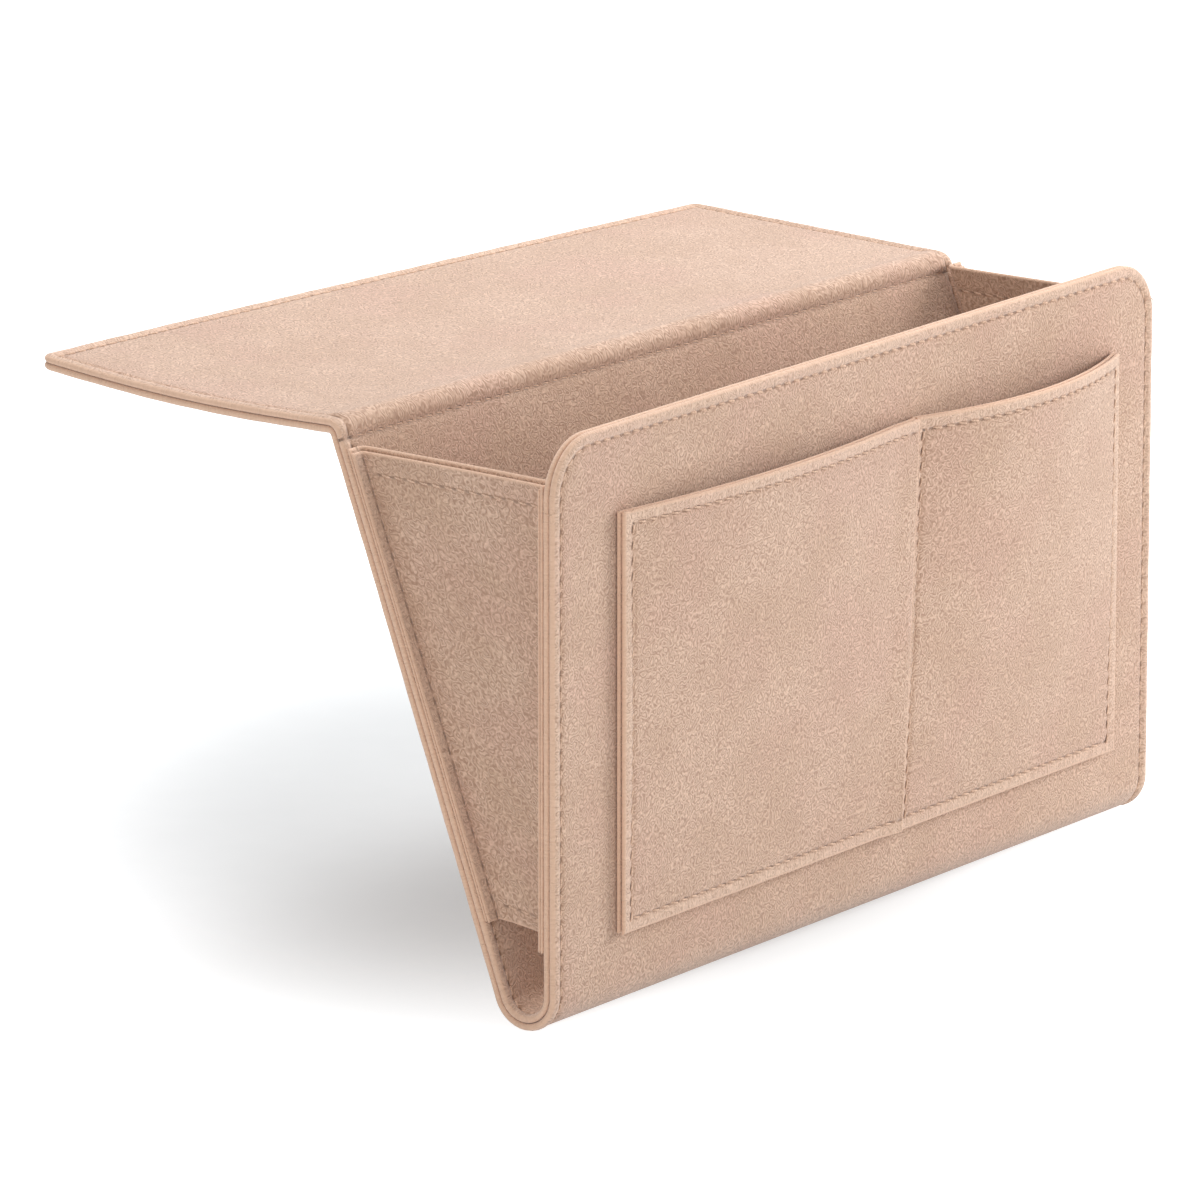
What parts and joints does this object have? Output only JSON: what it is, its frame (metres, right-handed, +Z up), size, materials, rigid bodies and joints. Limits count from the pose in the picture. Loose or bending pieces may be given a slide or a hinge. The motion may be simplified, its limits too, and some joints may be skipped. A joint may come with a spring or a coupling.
{
  "type": "bedside caddy",
  "caption": "Sewn felt bedside caddy: a stiffened flap tucked under the mattress folds down into a wedge-shaped pouch with side gussets, a cable trough and bowed outside pockets.",
  "frame": {"origin": "middle of the flap's flat underside, where the caddy rests on the bed base", "axes": "+X along the caddy's width towards its right end seen from the front, +Y under the mattress, -Y towards the room, +Z up"},
  "size_m": [0.33, 0.2211, 0.1909],
  "materials": {
    "felt": "beige polyester needle felt with a short curly nap, matte",
    "board": "plain unpainted sheet, matte",
    "thread": "twisted polyester sewing thread, close to the felt's colour"
  },
  "bodies": {
    "flap": {"flap_lower_ply": "felt", "flap_upper_ply": "felt", "flap_board": "board", "fold_outer_ply": "felt", "fold_inner_ply": "felt", "flap_border_thread": "thread"},
    "pouch": {"pouch_outer_ply": "felt", "pouch_inner_ply": "felt", "back_board": "board", "front_board": "board", "pouch_border_thread": "thread", "fold_thread": "thread", "left_gusset_inner_ply": "felt", "left_gusset_outer_ply": "felt", "left_gusset_top_thread": "thread", "left_gusset_bottom_thread": "thread", "left_pocket_inner_ply": "felt", "left_pocket_outer_ply": "felt", "left_pocket_hem_thread": "thread", "right_gusset_inner_ply": "felt", "right_gusset_outer_ply": "felt", "right_gusset_top_thread": "thread", "right_gusset_bottom_thread": "thread", "right_pocket_inner_ply": "felt", "right_pocket_outer_ply": "felt", "right_pocket_hem_thread": "thread", "pocket_border_thread": "thread", "pocket_divider_thread": "thread"}
  },
  "joints": [
    {"name": "flap_fold", "type": "hinge", "parent": "flap", "child": "pouch", "pos_m": [0, -0.0575, 0], "axis": [1, 0, 0], "range_deg": [-165, 100], "deforming": ["fold_outer_ply", "fold_inner_ply"]}
  ]
}
